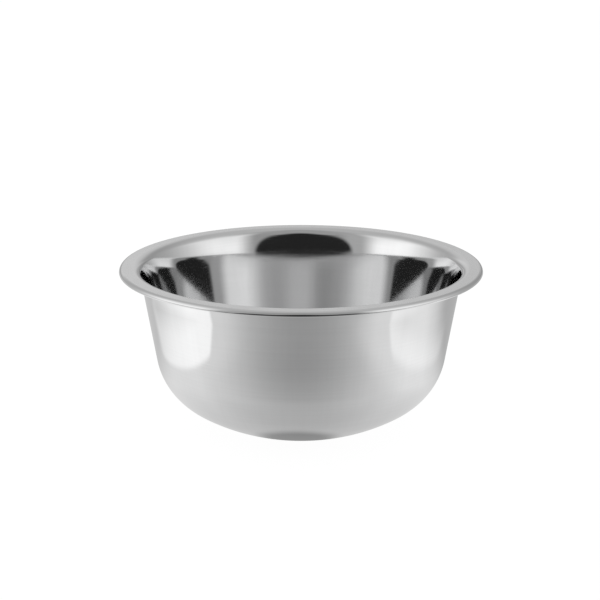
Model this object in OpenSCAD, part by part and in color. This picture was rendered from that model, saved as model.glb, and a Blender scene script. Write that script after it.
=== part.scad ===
// Shaving bowl: one round bowl drawn from a single stainless steel sheet. Its wall flares
// into a flat flange round the mouth, and the flange's outer edge is rolled down.
//
// The origin is the centre of the resting face, with +Z up along the bowl's axis.
// The sheet is drawn by its outer face, as a path of [radius, height, heading] stations
// from the axis to the rolled-down edge. The heading is the path's angle above the
// horizontal, in degrees, and the inner face lies one sheet thickness to its left.

/* [Overall] */
// Diameter over the outer edge of the rim
rim_d = 110; // [105:1:118]
// Height from the resting face to the top of the rim
height = 50.5; // [46:0.5:55]
// Thickness of the steel sheet
sheet_t = 0.7; // [0.5:0.1:1]

/* [Rim] */
// Width of the rim from the start of its flat top to its outer edge
flange_w = 3.9; // [3.5:0.1:5]
// Bend radius under the flange, where the wall turns outwards
mouth_bend_r = 2.1; // [1.5:0.1:3]
// Lean from the vertical where the flared top of the wall meets that bend
flare_lean = 17; // [14:0.5:20]
// Radius of the flare above the straight wall
flare_r = 42; // [25:1:50]
// Bend radius under the flange's rolled-down outer edge
edge_bend_r = 0.5; // [0.3:0.1:0.8]
// How far that edge is turned down from the flat flange
edge_turn = 85; // [50:5:90]

/* [Wall] */
// Lean of the straight wall from the vertical
wall_draft = 9.6; // [9:0.2:12]
// Outside radius where the wall turns in to the bottom
shoulder_r = 21; // [19:0.2:25]
// Heading of the bottom where it meets the shoulder
belly_turn = 33; // [30:0.5:34]

/* [Base] */
// Diameter of the flat resting face
base_d = 33; // [28:1:36]
// Outside radius where the resting face turns up
foot_r = 5.5; // [3:0.5:8]
// Heading of the bottom where it leaves that turn
foot_turn = 14.5; // [13:0.5:18]
// Diameter of the pushed-up centre of the base
centre_d = 22; // [16:1:24]
// Height of the pushed-up centre above the resting face
centre_h = 0.6; // [0.3:0.1:1]
// Outside radius of the two bends round the pushed-up centre
centre_bend_r = 3; // [2:0.5:5]

/* [Hidden] */

// Widest turn that one straight edge of an outline stands for, on large and small bends
large_bend_step = 1;
shoulder_step = 2.5;
small_bend_step = 8;
round_step = 10;

rim_r = rim_d / 2;
base_r = base_d / 2;
wall_heading = 90 - wall_draft;
flare_heading = 90 - flare_lean;
steel_colour = [0.77, 0.78, 0.79];

// Where the flare ends and the bend under the flange begins
flare_top_z = height - sheet_t - mouth_bend_r * (1 - cos(flare_heading));
flare_top_r = rim_r - flange_w - mouth_bend_r * sin(flare_heading);

// Where the straight wall ends and the flare begins
wall_top_z = flare_top_z - flare_r * (cos(flare_heading) - cos(wall_heading));
wall_top_r = flare_top_r - flare_r * (sin(wall_heading) - sin(flare_heading));

// Turn of each of the two equal bends that raise the centre of the base
centre_turn = acos(1 - centre_h / (2 * centre_bend_r));
centre_flat_r = centre_d / 2 - 2 * centre_bend_r * sin(centre_turn);

// The belly's radius is what closes the path: the foot, the belly, the shoulder and the
// wall together reach wall_top_r at wall_top_z. Both runs are linear in that radius.
turns_run = base_r + foot_r * sin(foot_turn) + shoulder_r * (sin(wall_heading) - sin(belly_turn));
turns_rise = foot_r * (1 - cos(foot_turn)) + shoulder_r * (cos(belly_turn) - cos(wall_heading));
belly_run = sin(belly_turn) - sin(foot_turn);
belly_rise = cos(foot_turn) - cos(belly_turn);
belly_r = (wall_top_r - turns_run - (wall_top_z - turns_rise) * tan(wall_draft))
        / (belly_run - belly_rise * tan(wall_draft));

// Stations along a bend that starts at station s and turns to heading a1. The radius r is
// positive for a turn to the left and negative for a turn to the right. Station s itself
// is left out.
function bend(s, r, a1, step) =
    let (n = ceil(abs(a1 - s[2]) / step))
    [for (i = [1:n])
        let (a = s[2] + (a1 - s[2]) * i / n)
        [s[0] + r * (sin(a) - sin(s[2])), s[1] + r * (cos(s[2]) - cos(a)), a]];

// The point one sheet thickness to the left of a station
function inner_face(s) = [s[0] - sheet_t * sin(s[2]), s[1] + sheet_t * cos(s[2])];
function outer_face(s) = [s[0], s[1]];
function last(path) = path[len(path) - 1];

// The base: raised centre, two bends down to the resting face, and the flat ring
centre_flat = [[0, centre_h, 0], [centre_flat_r, centre_h, 0]];
centre_down = bend(last(centre_flat), -centre_bend_r, -centre_turn, small_bend_step);
centre_level = bend(last(centre_down), centre_bend_r, 0, small_bend_step);
base_edge = [[base_r, 0, 0]];

// The sides: foot, belly, shoulder and straight wall
foot = bend(last(base_edge), foot_r, foot_turn, small_bend_step / 2);
belly = bend(last(foot), belly_r, belly_turn, large_bend_step);
shoulder = bend(last(belly), shoulder_r, wall_heading, shoulder_step);
wall = [[wall_top_r, wall_top_z, wall_heading]];

// How far the rolled edge reaches out from the centre of its bend
edge_reach = (edge_bend_r + sheet_t / 2) * sin(edge_turn) + sheet_t / 2;

// The rim: flare, bend out to the flange, flat flange, and the edge rolled down
flare = bend(last(wall), -flare_r, flare_heading, large_bend_step);
mouth = bend(last(flare), -mouth_bend_r, 0, small_bend_step);
flange = [[rim_r - edge_reach, height - sheet_t, 0]];
edge = bend(last(flange), -edge_bend_r, -edge_turn, small_bend_step);

sheet_path = concat(centre_flat, centre_down, centre_level, base_edge, foot, belly,
                    shoulder, wall, flare, mouth, flange, edge);

// The sheet's end is a half round between its two faces
function edge_round(s) =
    let (n = 180 / round_step, mid = (outer_face(s) + inner_face(s)) / 2)
    [for (i = [1:n - 1])
        let (a = 270 + s[2] + 180 * i / n)
        mid + sheet_t / 2 * [cos(a), sin(a)]];

module sheet_section() {
    stations = len(sheet_path);
    polygon(concat(
        [for (s = sheet_path) outer_face(s)],
        edge_round(last(sheet_path)),
        [for (i = [1:stations]) inner_face(sheet_path[stations - i])]
    ));
}

module bowl_shell() {
    color(steel_colour)
        rotate_extrude($fn = 360)
            sheet_section();
}

bowl_shell();
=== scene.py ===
"""A polished steel shaving bowl, standing on a plain pale floor in soft studio light.

Everything is in metres, in the CAD frame: +Z up along the bowl's axis, the origin at the
centre of its resting face, and -Y towards the camera.
"""

import math

import bpy
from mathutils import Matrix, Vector


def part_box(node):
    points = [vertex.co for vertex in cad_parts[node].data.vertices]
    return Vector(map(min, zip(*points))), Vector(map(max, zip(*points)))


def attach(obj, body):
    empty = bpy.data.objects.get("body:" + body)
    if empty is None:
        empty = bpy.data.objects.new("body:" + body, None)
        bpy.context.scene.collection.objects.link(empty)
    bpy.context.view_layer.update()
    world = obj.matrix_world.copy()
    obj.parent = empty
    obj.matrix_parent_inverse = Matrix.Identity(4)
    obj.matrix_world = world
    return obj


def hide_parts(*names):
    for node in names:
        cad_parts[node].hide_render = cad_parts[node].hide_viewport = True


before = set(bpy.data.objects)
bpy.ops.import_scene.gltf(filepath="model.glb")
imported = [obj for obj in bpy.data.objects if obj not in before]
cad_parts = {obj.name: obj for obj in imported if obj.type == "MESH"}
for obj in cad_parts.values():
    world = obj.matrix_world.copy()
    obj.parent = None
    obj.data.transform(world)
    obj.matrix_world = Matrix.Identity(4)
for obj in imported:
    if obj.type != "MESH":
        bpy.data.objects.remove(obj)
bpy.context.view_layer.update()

MM = 0.001


def smoothstep(start, end, x):
    """0 before start, rising smoothly to 1 at end."""
    t = min(max((x - start) / (end - start), 0), 1)
    return t * t * (3 - 2 * t)


def fade(start, end, x):
    """1 before start, falling smoothly to 0 at end."""
    return 1 - smoothstep(start, end, x)


def hump(centre, width, x):
    """1 at the centre, and 1/e at a width from it on either side."""
    return math.exp(-((x - centre) / width) ** 2)


def add_mesh(name, verts, faces):
    """A smooth-shaded mesh object in the scene."""
    mesh = bpy.data.meshes.new(name)
    mesh.from_pydata(verts, [], faces)
    mesh.polygons.foreach_set("use_smooth", [True] * len(faces))
    obj = bpy.data.objects.new(name, mesh)
    bpy.context.scene.collection.objects.link(obj)
    return obj


def add_values(obj, name, values):
    """Stores one number for each vertex, for a material to read."""
    obj.data.attributes.new(name, "FLOAT", "POINT").data.foreach_set("value", values)


# ---------------------------------------------------------------- the bowl's section

# The same driving sizes as the CAD part. The rim and the height come from the frame.
_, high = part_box("bowl_shell")
HEIGHT = high.z
RIM_R = high.x
SHEET_T = 0.7 * MM
FLANGE_W = 3.9 * MM
MOUTH_BEND_R = 2.1 * MM
FLARE_HEADING = math.radians(90 - 17)
FLARE_R = 42 * MM
EDGE_BEND_R = 0.5 * MM
EDGE_TURN = math.radians(85)
WALL_HEADING = math.radians(90 - 9.6)
SHOULDER_R = 21 * MM
BELLY_TURN = math.radians(33)
BASE_R = 16.5 * MM
FOOT_R = 5.5 * MM
FOOT_TURN = math.radians(14.5)
CENTRE_R = 11 * MM
CENTRE_H = 0.6 * MM
CENTRE_BEND_R = 3 * MM

# Where the mirror polish of the inner wall gives way to the satin of the rim's flat top
SATIN_FROM_R = 50.1 * MM
SATIN_FULL_R = 51.2 * MM
# How far the wear fades out past the flat ring that the bowl stands on, at each side
WEAR_FADE = 1 * MM

# Steps along the section: in degrees on its bends, in metres on its straight runs
LARGE_BEND_STEP = 1
SHOULDER_STEP = 1.5
FOOT_STEP = 3
CENTRE_STEP = 5
MOUTH_STEP = 6
EDGE_STEP = 8
STRAIGHT_STEP = 2 * MM
BASE_STEP = 1.5 * MM
FLANGE_STEP = 0.6 * MM
# Steps round the bowl, and round the sheet's end
SEGMENTS = 360
CAP_STEPS = 12


def bend(path, radius, heading, step):
    """Adds stations along a bend to path, at most step degrees apart.

    The radius is positive for a turn to the left and negative for a turn to the right.
    """
    r, z, start = path[-1]
    steps = math.ceil(abs(heading - start) / math.radians(step))
    for i in range(1, steps + 1):
        a = start + (heading - start) * i / steps
        path.append((r + radius * (math.sin(a) - math.sin(start)),
                     z + radius * (math.cos(start) - math.cos(a)), a))


def straight(path, r, z, heading, length):
    """Adds stations along a straight run to (r, z), at most length apart."""
    r0, z0, _ = path[-1]
    steps = math.ceil(math.hypot(r - r0, z - z0) / length)
    for i in range(1, steps + 1):
        path.append((r0 + (r - r0) * i / steps, z0 + (z - z0) * i / steps, heading))


def sheet_path():
    """Stations (radius, height, heading) along the sheet's outer face, from the axis out."""
    flare_z = HEIGHT - SHEET_T - MOUTH_BEND_R * (1 - math.cos(FLARE_HEADING))
    flare_r = RIM_R - FLANGE_W - MOUTH_BEND_R * math.sin(FLARE_HEADING)
    top_z = flare_z - FLARE_R * (math.cos(FLARE_HEADING) - math.cos(WALL_HEADING))
    top_r = flare_r - FLARE_R * (math.sin(WALL_HEADING) - math.sin(FLARE_HEADING))
    lean = 1 / math.tan(WALL_HEADING)
    centre_turn = math.acos(1 - CENTRE_H / (2 * CENTRE_BEND_R))
    centre_flat_r = CENTRE_R - 2 * CENTRE_BEND_R * math.sin(centre_turn)
    # The belly's radius is what closes the path between the base and the wall's top
    run = (BASE_R + FOOT_R * math.sin(FOOT_TURN)
           + SHOULDER_R * (math.sin(WALL_HEADING) - math.sin(BELLY_TURN)))
    rise = (FOOT_R * (1 - math.cos(FOOT_TURN))
            + SHOULDER_R * (math.cos(BELLY_TURN) - math.cos(WALL_HEADING)))
    belly_run = math.sin(BELLY_TURN) - math.sin(FOOT_TURN)
    belly_rise = math.cos(FOOT_TURN) - math.cos(BELLY_TURN)
    belly_r = (top_r - run - (top_z - rise) * lean) / (belly_run - belly_rise * lean)
    edge_reach = (EDGE_BEND_R + SHEET_T / 2) * math.sin(EDGE_TURN) + SHEET_T / 2

    path = [(0, CENTRE_H, 0)]
    straight(path, centre_flat_r, CENTRE_H, 0, STRAIGHT_STEP)
    bend(path, -CENTRE_BEND_R, -centre_turn, CENTRE_STEP)
    bend(path, CENTRE_BEND_R, 0, CENTRE_STEP)
    straight(path, BASE_R, 0, 0, BASE_STEP)
    bend(path, FOOT_R, FOOT_TURN, FOOT_STEP)
    bend(path, belly_r, BELLY_TURN, LARGE_BEND_STEP)
    bend(path, SHOULDER_R, WALL_HEADING, SHOULDER_STEP)
    straight(path, top_r, top_z, WALL_HEADING, STRAIGHT_STEP)
    bend(path, -FLARE_R, FLARE_HEADING, LARGE_BEND_STEP)
    bend(path, -MOUTH_BEND_R, 0, MOUTH_STEP)
    straight(path, RIM_R - edge_reach, HEIGHT - SHEET_T, 0, FLANGE_STEP)
    bend(path, -EDGE_BEND_R, -EDGE_TURN, EDGE_STEP)
    return path


def section():
    """The closed section as (radius, height, normal radial, normal up, satin, wear).

    Satin is 1 on the rim's flat top, where the mirror polish gives way to a brushed finish,
    and 0 on the rest of the bowl. Wear is 1 on the ring that the bowl stands on.
    """
    path = sheet_path()
    outer = []
    for r, z, a in path:
        wear = smoothstep(CENTRE_R - WEAR_FADE, CENTRE_R, r) * fade(BASE_R, BASE_R + WEAR_FADE, r)
        outer.append((r, z, math.sin(a), -math.cos(a), 0, wear))
    inner = []
    for r, z, a in path:
        r_in, z_in = r - SHEET_T * math.sin(a), z + SHEET_T * math.cos(a)
        satin = smoothstep(SATIN_FROM_R, SATIN_FULL_R, r_in) * fade(0, EDGE_TURN / 3, -a)
        inner.append((r_in, z_in, -math.sin(a), math.cos(a), satin, 0))
    # The sheet's end is a half round between its two faces
    mid_r = (outer[-1][0] + inner[-1][0]) / 2
    mid_z = (outer[-1][1] + inner[-1][1]) / 2
    cap = []
    for i in range(1, CAP_STEPS):
        a = 1.5 * math.pi - EDGE_TURN + math.pi * i / CAP_STEPS
        cap.append((mid_r + SHEET_T / 2 * math.cos(a), mid_z + SHEET_T / 2 * math.sin(a),
                    math.cos(a), math.sin(a), 0, 0))
    return outer + cap + inner[::-1]


def lathe(name, points, segments):
    """A closed mesh turned from a section that starts and ends on the axis.

    Its values are satin, wear, and along: the distance from the section's start, in metres.
    """
    verts, normals, along, satin, wear = [], [], [], [], []
    distance = 0.0
    last = len(points) - 1
    for k, (r, z, nr, nz, is_satin, is_worn) in enumerate(points):
        if k:
            distance += math.hypot(r - points[k - 1][0], z - points[k - 1][1])
        for j in range(1 if k in (0, last) else segments):
            a = 2 * math.pi * j / segments
            verts.append((r * math.cos(a), r * math.sin(a), z))
            normals.append((nr * math.cos(a), nr * math.sin(a), nz))
            along.append(distance)
            satin.append(is_satin)
            wear.append(is_worn)
    faces = []
    top = len(verts) - 1
    for j in range(segments):
        n = (j + 1) % segments
        faces.append((0, 1 + n, 1 + j))
        for k in range(1, last - 1):
            ring = 1 + (k - 1) * segments
            above = ring + segments
            faces.append((ring + j, ring + n, above + n, above + j))
        ring = 1 + (last - 2) * segments
        faces.append((ring + j, ring + n, top))
    obj = add_mesh(name, verts, faces)
    add_values(obj, "along", along)
    add_values(obj, "satin", satin)
    add_values(obj, "wear", wear)
    obj.data.normals_split_custom_set_from_vertices(normals)
    obj.data.update()
    return obj


# ---------------------------------------------------------------- the steel

# Base colour of the steel, and its share of it in red, green and blue
STEEL_TONE = 0.785
STEEL_TINT = (0.998, 1.0, 1.003)
MIRROR_ROUGHNESS = 0.045
SATIN_ROUGHNESS = 0.22
# Noise cycles per metre along the section, for the rings, the draw marks and the hairlines
RINGS = 1600
DRAWS = 60
HAIRS = 5200
# Noise cycles per radian round the bowl, for the same three
RINGS_ROUND = 1.5
DRAWS_ROUND = 34
HAIRS_ROUND = 14
# Noise cycles per metre of the smears and of the scuffs
SMEARS = 38
SCUFFS = 1400
RELIEF = 0.0007 * MM


def steel():
    """Polished stainless steel: fine polishing rings, faint smears, hairline marks and wear."""
    mat = bpy.data.materials.new("polished_steel")
    mat.use_nodes = True
    tree = mat.node_tree
    shader = tree.nodes["Principled BSDF"]

    def link(output, socket):
        if isinstance(output, (int, float)):
            socket.default_value = output
        else:
            tree.links.new(output, socket)

    def attribute(name):
        made = tree.nodes.new("ShaderNodeAttribute")
        made.attribute_name = name
        return made.outputs["Fac"]

    def calc(operation, a, b=0.0, c=0.0):
        made = tree.nodes.new("ShaderNodeMath")
        made.operation = operation
        for value, socket in zip((a, b, c), made.inputs):
            link(value, socket)
        return made.outputs[0]

    def add_share(amount, share, base):
        return calc("MULTIPLY_ADD", amount, share, base)

    def noise(at, scale, detail, low_end, high_end, low_value=0.0, high_value=1.0):
        """A noise whose band from low_end to high_end is spread over the values."""
        made = tree.nodes.new("ShaderNodeTexNoise")
        link(at, made.inputs["Vector"])
        made.inputs["Scale"].default_value = scale
        made.inputs["Detail"].default_value = detail
        spread = tree.nodes.new("ShaderNodeMapRange")
        spread.interpolation_type = "SMOOTHSTEP"
        link(made.outputs[0], spread.inputs["Value"])
        spread.inputs["From Min"].default_value = low_end
        spread.inputs["From Max"].default_value = high_end
        spread.inputs["To Min"].default_value = low_value
        spread.inputs["To Max"].default_value = high_value
        return spread.outputs[0]

    place = tree.nodes.new("ShaderNodeTexCoord").outputs["Object"]
    apart = tree.nodes.new("ShaderNodeSeparateXYZ")
    link(place, apart.inputs[0])
    x, y, _ = apart.outputs
    squares = calc("ADD", calc("MULTIPLY", x, x), calc("MULTIPLY", y, y))
    radius = calc("MAXIMUM", calc("SQRT", squares), 1e-4)
    turn_x, turn_y = calc("DIVIDE", x, radius), calc("DIVIDE", y, radius)
    along, satin, wear = attribute("along"), attribute("satin"), attribute("wear")

    def unrolled(round_it, along_it):
        """A place on the bowl's unrolled face, stretched by the two cycle counts."""
        made = tree.nodes.new("ShaderNodeCombineXYZ")
        for value, count, socket in zip((turn_x, turn_y, along), (round_it, round_it, along_it),
                                        made.inputs):
            link(calc("MULTIPLY", value, count), socket)
        return made.outputs[0]

    # Rings left by the polishing wheel: long round the bowl, fine along its section
    rings = noise(unrolled(RINGS_ROUND, RINGS), 1.0, 3.0, 0.3, 0.7)
    # Draw marks up the wall, left where the blank was pressed
    draws = noise(unrolled(DRAWS_ROUND, DRAWS), 1.0, 2.0, 0.35, 0.75)
    smears = noise(place, SMEARS, 4.0, 0.45, 0.72)
    # Hairlines: thin, short, and mostly round the bowl
    hairs = noise(unrolled(HAIRS_ROUND, HAIRS), 1.0, 0.0, 0.74, 0.8)
    scuffs = calc("MULTIPLY", wear, noise(place, SCUFFS, 3.0, 0.4, 0.62, 0.3))

    finish = add_share(rings, 0.018, MIRROR_ROUGHNESS)
    finish = add_share(smears, 0.022, finish)
    finish = add_share(hairs, 0.05, finish)
    finish = add_share(satin, SATIN_ROUGHNESS - MIRROR_ROUGHNESS, finish)
    finish = add_share(scuffs, 0.3, finish)
    link(finish, shader.inputs["Roughness"])

    tone = add_share(rings, 0.014, STEEL_TONE - 0.007)
    tone = add_share(satin, 0.01, tone)
    tone = add_share(draws, -0.012, tone)
    tone = add_share(smears, -0.016, tone)
    tone = add_share(scuffs, -0.12, tone)
    colour = tree.nodes.new("ShaderNodeCombineColor")
    for socket, share in zip(colour.inputs, STEEL_TINT):
        link(calc("MULTIPLY", tone, share), socket)
    link(colour.outputs[0], shader.inputs["Base Color"])

    heights = add_share(draws, 0.8, calc("MULTIPLY", rings, 0.12))
    heights = add_share(hairs, -0.15, heights)
    relief = tree.nodes.new("ShaderNodeBump")
    relief.inputs["Strength"].default_value = 1
    relief.inputs["Distance"].default_value = RELIEF
    link(heights, relief.inputs["Height"])
    link(relief.outputs[0], shader.inputs["Normal"])

    # The rings run round the bowl, so they blur reflections along its section
    tangent = tree.nodes.new("ShaderNodeTangent")
    tangent.direction_type = "RADIAL"
    tangent.axis = "Z"
    link(tangent.outputs[0], shader.inputs["Tangent"])
    shader.inputs["Anisotropic"].default_value = 0.5
    shader.inputs["Anisotropic Rotation"].default_value = 0.25
    shader.inputs["Metallic"].default_value = 1
    return mat


# ---------------------------------------------------------------- the bowl

bowl = lathe("bowl", section(), SEGMENTS)
bowl.data.materials.append(steel())
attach(bowl, "root")
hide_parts("bowl_shell")

# ---------------------------------------------------------------- stage

# The floor lies just under the resting face, so that the two never coincide
FLOOR_Z = -0.1 * MM
FLOOR_HALF = 3.0
# The visible floor is nearly all emission, so that the bowl's shadow on it stays faint
FLOOR_BASE = (0.05, 0.05, 0.05, 1)
FLOOR_EMISSION = 0.97
WHITE = (1, 1, 1, 1)
ROOM_R = 3.0
# The room is a dome with a vertex at each degree, from a little below the horizon up
ROOM_LOWEST = -10

# Brightness of the studio's dark opening, of its backdrop, and of the low glow in the opening
OPENING_GLOW = 0.02
BACKDROP_GLOW = 0.62
SILL_GLOW = 0.16
# Half widths of the opening to the right and left of the camera, and its height, in degrees
OPENING_RIGHT = 36
OPENING_LEFT = 40.5
OPENING_TOP = 23

# The mirrored floor's grid, in millimetres: fine round the bowl and coarse far from it
NEAR_LINES = [1.5 * i for i in range(-100, 101)]
FAR_LINES = [200, 280, 400, 600, 1000, 1600, 2800]

world = bpy.data.worlds.new("studio")
bpy.context.scene.world = world
world.use_nodes = True
world.node_tree.nodes["Background"].inputs["Color"].default_value = WHITE


def glow(name):
    """A plain emitter whose strength is the mesh's own glow value."""
    mat = bpy.data.materials.new(name)
    mat.use_nodes = True
    tree = mat.node_tree
    tree.nodes.clear()
    out = tree.nodes.new("ShaderNodeOutputMaterial")
    light = tree.nodes.new("ShaderNodeEmission")
    strength = tree.nodes.new("ShaderNodeAttribute")
    strength.attribute_name = "glow"
    tree.links.new(strength.outputs["Fac"], light.inputs["Strength"])
    tree.links.new(light.outputs[0], out.inputs["Surface"])
    return mat


def stage_mesh(name, verts, faces, mat):
    obj = add_mesh(name, verts, faces)
    obj.data.materials.append(mat)
    return obj


def grid_faces(rows, columns):
    return [(i * columns + j, i * columns + j + 1, (i + 1) * columns + j + 1, (i + 1) * columns + j)
            for i in range(rows - 1) for j in range(columns - 1)]


def only_mirrored(obj, values):
    """Gives a stage mesh its glow and hides it from everything but reflections."""
    add_values(obj, "glow", values)
    obj.visible_camera = False
    obj.visible_diffuse = False
    obj.visible_shadow = False
    obj.data.materials[0].cycles.emission_sampling = "NONE"


def room_glow(azimuth, elevation):
    """Brightness of the studio in a direction, in degrees from the camera's side.

    A dark opening faces the bowl round the camera. A long soft light stands at each side,
    with a brighter box in its lower part, and the backdrop and the ceiling are grey.
    """
    turn = abs(azimuth)
    right = azimuth > 0
    above = max(elevation, 0)
    if right:
        walls = 0.35 + 0.60 * smoothstep(34, 52, turn) * fade(65, 125, turn)
        box = 0.12 * smoothstep(40, 56, turn) * fade(66, 96, turn) * smoothstep(3, 9, elevation)
    else:
        walls = 0.37 + 0.08 * smoothstep(30, 40, turn)
        walls += 0.52 * smoothstep(46, 65, turn) * fade(88, 128, turn)
        box = 0.22 * smoothstep(46, 62, turn) * fade(78, 104, turn) * smoothstep(1, 7, elevation)
    box *= fade(11, 20, elevation)
    # The walls go on behind the bowl, with a dim stretch before the backdrop
    walls += 0.13 * smoothstep(80, 130, turn) - 0.11 * hump(142, 20, turn)
    walls += (BACKDROP_GLOW - walls) * smoothstep(150, 178, turn)
    # The backdrop's foot is shaded, and the band above it is brighter on the left
    behind = smoothstep(138, 165, turn)
    leftward = smoothstep(-25, 25, turn - 180 if right else 180 - turn)
    band = (0.22 * leftward - 0.07) * hump(15, 4, elevation)
    walls += behind * (band - 0.24 * fade(2, 11, elevation))
    # The side lights are shaded at the floor and a little brighter straight to the side
    walls -= 0.25 * smoothstep(40, 60, turn) * fade(80, 110, turn) * fade(1, 6, elevation)
    walls += 0.09 * hump(90, 18, turn) * hump(21, 8, elevation)
    ceiling = 0.38 + 0.15 * smoothstep(20, 90, turn)
    walls += (ceiling - walls) * smoothstep(24, 64, elevation)
    # The opening: a rounded arch, with a soft narrow gap above the camera
    across = turn / (OPENING_RIGHT if right else OPENING_LEFT)
    reach = (across ** 3 + (above / OPENING_TOP) ** 3) ** (1 / 3)
    gap = math.hypot(azimuth / 14, (above - 10) / 26)
    lit = smoothstep(0.95, 1.05, reach) * smoothstep(0.6, 1.5, gap)
    sill = 2.5 + 3.5 * (turn / 36) ** 4
    opening = OPENING_GLOW + SILL_GLOW * fade(sill - 2, sill + 2, elevation) * (1 - lit)
    return opening + (walls + box - OPENING_GLOW) * lit


def floor_glow(x, y):
    """Brightness of the floor as the bowl mirrors it, with x and y in millimetres."""
    side = abs(x)
    front = -y
    left = x < 0
    # Grey in front of the bowl, brighter beside it, and dim at the back of the sides
    near = 1 - 0.56 * smoothstep(40, 120, front)
    level = 0.29 + 0.22 * smoothstep(-156, -44, y)
    level += 0.30 * smoothstep(0, 69, side * near)
    level += 0.06 * fade(28, 46, front)
    level -= (0.26 if left else 0.38) * smoothstep(-5, 57, y) * smoothstep(30, 60, side)
    if not left:
        level += 0.05 * smoothstep(48, 70, side) * smoothstep(-5, 10, front)
    # The lit part of the floor at each side of the bowl
    inner = 77 + 5 * smoothstep(-55, 10, y)
    soft = 2.5 if left else 5
    edge = smoothstep(inner - soft, inner + soft, side)
    back = fade(-12, 12, (y - 28) - 1.25 * (side - 81))
    ahead = fade(-3, 3, (front - 51) - 0.95 * (side - 78))
    outer = fade(98, 132, side) if left else fade(84, 112, side)
    strength = (0.34 if left else 0.18) * (1 - 0.4 * smoothstep(-50, 20, y))
    level += strength * outer * edge * back * ahead
    # The far floor in front is dark, and only the rim's edge mirrors it
    from_axis = math.hypot(x, y)
    level *= 1 - 0.85 * smoothstep(140, 185, from_axis) * fade(0.9, 1.6, side / max(front, 1))
    # A shaded band in front, and the shadow where the bowl stands
    level -= 0.08 * hump(86, 15, from_axis) * smoothstep(0, 60, front) * fade(52, 78, side)
    level -= 0.27 * fade(0.6, 1.2, math.hypot((x + 1) / 12.5, (y + 22) / 13))
    return level


azimuths = range(-180, 181)
elevations = range(ROOM_LOWEST, 91)
verts, values = [], []
for elevation in elevations:
    for azimuth in azimuths:
        a, e = math.radians(azimuth), math.radians(elevation)
        verts.append((ROOM_R * math.cos(e) * math.sin(a), -ROOM_R * math.cos(e) * math.cos(a),
                      ROOM_R * math.sin(e)))
        values.append(room_glow(azimuth, elevation))
room = stage_mesh("studio_room", verts, grid_faces(len(elevations), len(azimuths)),
                  glow("room_glow"))
only_mirrored(room, values)

lines = [-v for v in reversed(FAR_LINES)] + NEAR_LINES + FAR_LINES
verts, values = [], []
for y in lines:
    for x in lines:
        verts.append((x * MM, y * MM, FLOOR_Z))
        values.append(floor_glow(x, y))
mirrored = stage_mesh("mirrored_floor", verts, grid_faces(len(lines), len(lines)),
                      glow("floor_glow"))
only_mirrored(mirrored, values)

# The floor that the camera sees: white, and left out of the bowl's reflections
floor_mat = bpy.data.materials.new("floor")
floor_mat.use_nodes = True
floor_shader = floor_mat.node_tree.nodes["Principled BSDF"]
floor_shader.inputs["Base Color"].default_value = FLOOR_BASE
floor_shader.inputs["Roughness"].default_value = 1
floor_shader.inputs["Specular IOR Level"].default_value = 0
floor_shader.inputs["Emission Color"].default_value = WHITE
floor_shader.inputs["Emission Strength"].default_value = FLOOR_EMISSION
corners = ((-1, -1), (1, -1), (1, 1), (-1, 1))
floor = stage_mesh("floor", [(x * FLOOR_HALF, y * FLOOR_HALF, FLOOR_Z) for x, y in corners],
                   [(0, 1, 2, 3)], floor_mat)
floor.visible_glossy = False

# ---------------------------------------------------------------- camera

CAMERA_ELEVATION = math.radians(16.993)
CAMERA_DISTANCE = 467.5 * MM
LENS = 90.92
# The camera is turned a little off the middle, to frame the bowl
MIDDLE_Z = 0.45 * RIM_R
AIM_UP = math.radians(1.679)
AIM_LEFT = math.radians(0.038)

camera_data = bpy.data.cameras.new("camera")
camera_data.lens = LENS
camera_data.clip_start, camera_data.clip_end = 0.01, 10
camera = bpy.data.objects.new("camera", camera_data)
bpy.context.scene.collection.objects.link(camera)
away = Vector((0, -math.cos(CAMERA_ELEVATION), math.sin(CAMERA_ELEVATION)))
camera.location = Vector((0, 0, MIDDLE_Z)) + CAMERA_DISTANCE * away
camera.rotation_euler = (math.pi / 2 - CAMERA_ELEVATION + AIM_UP, 0, AIM_LEFT)
bpy.context.scene.camera = camera

bpy.context.scene.view_settings.view_transform = "Standard"
